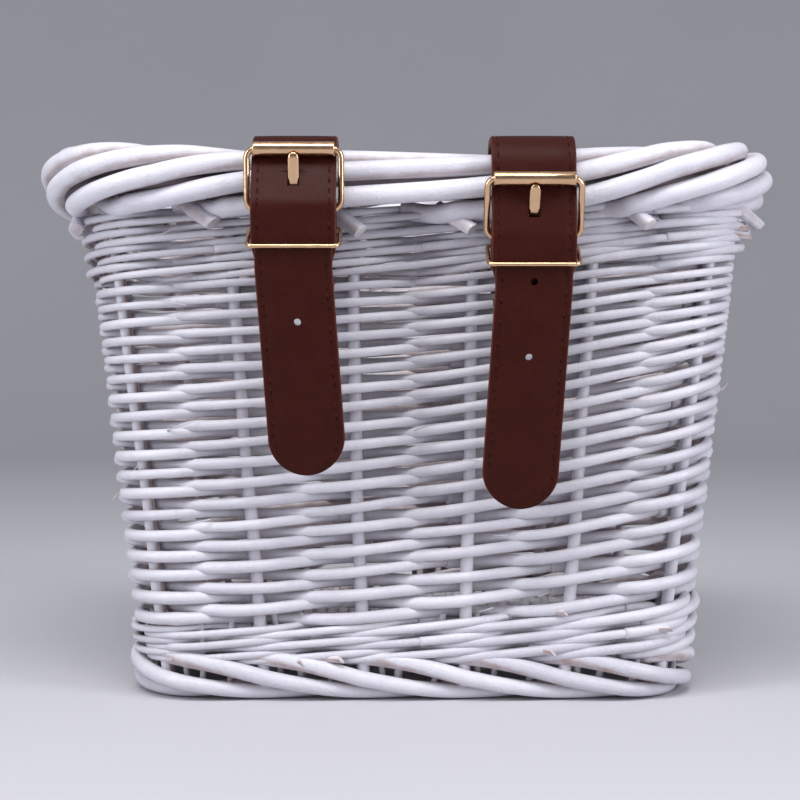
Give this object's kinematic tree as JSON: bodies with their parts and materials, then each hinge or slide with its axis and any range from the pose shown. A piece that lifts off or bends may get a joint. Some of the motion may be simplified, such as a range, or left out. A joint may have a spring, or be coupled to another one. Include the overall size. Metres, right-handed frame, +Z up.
{
  "type": "handlebar basket",
  "caption": "White wicker handlebar basket with a flat back, a rolled rim and buckled leather straps with wire keepers",
  "frame": {"origin": "on the floor plane, under the middle of the whole part's box", "axes": "+Z up; -Y towards the rider, the flat back with the straps; +X the rider's right, along the rim's long side"},
  "size_m": [0.272, 0.199, 0.2012],
  "materials": {
    "painted_willow": "white paint, semi-gloss, over round willow rods",
    "brown_leather": "smooth reddish brown, lightly glossy, stitched near its edges",
    "gold_metal": "polished rose-gold plating"
  },
  "bodies": {
    "basket": {"rim_border": "painted_willow", "top_wale": "painted_willow", "siding_weave": "painted_willow", "bottom_wale": "painted_willow", "foot_border": "painted_willow", "floor_weave": "painted_willow", "floor_stick_1": "painted_willow", "floor_stick_2": "painted_willow", "floor_stick_3": "painted_willow", "floor_stick_4": "painted_willow", "floor_stick_5": "painted_willow", "stake_01": "painted_willow", "stake_02": "painted_willow", "stake_03": "painted_willow", "stake_04": "painted_willow", "stake_05": "painted_willow", "stake_06": "painted_willow", "stake_07": "painted_willow", "stake_08": "painted_willow", "stake_09": "painted_willow", "stake_10": "painted_willow", "stake_11": "painted_willow", "stake_12": "painted_willow", "stake_13": "painted_willow", "stake_14": "painted_willow", "stake_15": "painted_willow", "stake_16": "painted_willow", "left_strap": "brown_leather", "right_strap": "brown_leather"},
    "left_buckle": {"left_buckle_frame": "gold_metal"},
    "left_roller": {"left_buckle_roller": "gold_metal"},
    "left_prong": {"left_buckle_prong": "gold_metal"},
    "left_keeper": {"left_strap_keeper": "gold_metal"},
    "left_tail": {"left_strap_tail": "brown_leather"},
    "right_buckle": {"right_buckle_frame": "gold_metal"},
    "right_roller": {"right_buckle_roller": "gold_metal"},
    "right_prong": {"right_buckle_prong": "gold_metal"},
    "right_keeper": {"right_strap_keeper": "gold_metal"},
    "right_tail": {"right_strap_tail": "brown_leather"}
  },
  "joints": [
    {"name": "left_buckle_tilt", "type": "hinge", "parent": "basket", "child": "left_buckle", "pos_m": [-0.041, -0.09154, 0.175], "axis": [1, 0, 0], "range_deg": [0, 5]},
    {"name": "left_roller_spin", "type": "hinge", "parent": "left_buckle", "child": "left_roller", "pos_m": [-0.041, -0.09308, 0.19544], "axis": [1, 0, 0], "continuous": true},
    {"name": "left_prong_lift", "type": "hinge", "parent": "left_buckle", "child": "left_prong", "pos_m": [-0.041, -0.09154, 0.175], "axis": [1, 0, 0], "range_deg": [0, 5]},
    {"name": "left_keeper_slide", "type": "slide", "parent": "basket", "child": "left_keeper", "axis": [0, 0.1045, -0.9945], "range_m": [-0.002, 0.005]},
    {"name": "left_tail_flex", "type": "hinge", "parent": "basket", "child": "left_tail", "pos_m": [-0.041, -0.0967, 0.1542], "axis": [-1, 0, 0], "range_deg": [0, 50], "stiffness_Nm_per_rad": 0.03},
    {"name": "right_buckle_tilt", "type": "hinge", "parent": "basket", "child": "right_buckle", "pos_m": [0.041, -0.08804, 0.166], "axis": [1, 0, 0], "range_deg": [0, 5]},
    {"name": "right_roller_spin", "type": "hinge", "parent": "right_buckle", "child": "right_roller", "pos_m": [0.041, -0.09531, 0.18517], "axis": [1, 0, 0], "continuous": true},
    {"name": "right_prong_lift", "type": "hinge", "parent": "right_buckle", "child": "right_prong", "pos_m": [0.041, -0.08804, 0.166], "axis": [1, 0, 0], "range_deg": [0, 5]},
    {"name": "right_keeper_slide", "type": "slide", "parent": "basket", "child": "right_keeper", "axis": [0, 0.1045, -0.9945], "range_m": [-0.002, 0.005]},
    {"name": "right_tail_flex", "type": "hinge", "parent": "basket", "child": "right_tail", "pos_m": [0.041, -0.09351, 0.14818], "axis": [-1, 0, 0], "range_deg": [0, 50], "stiffness_Nm_per_rad": 0.03}
  ]
}
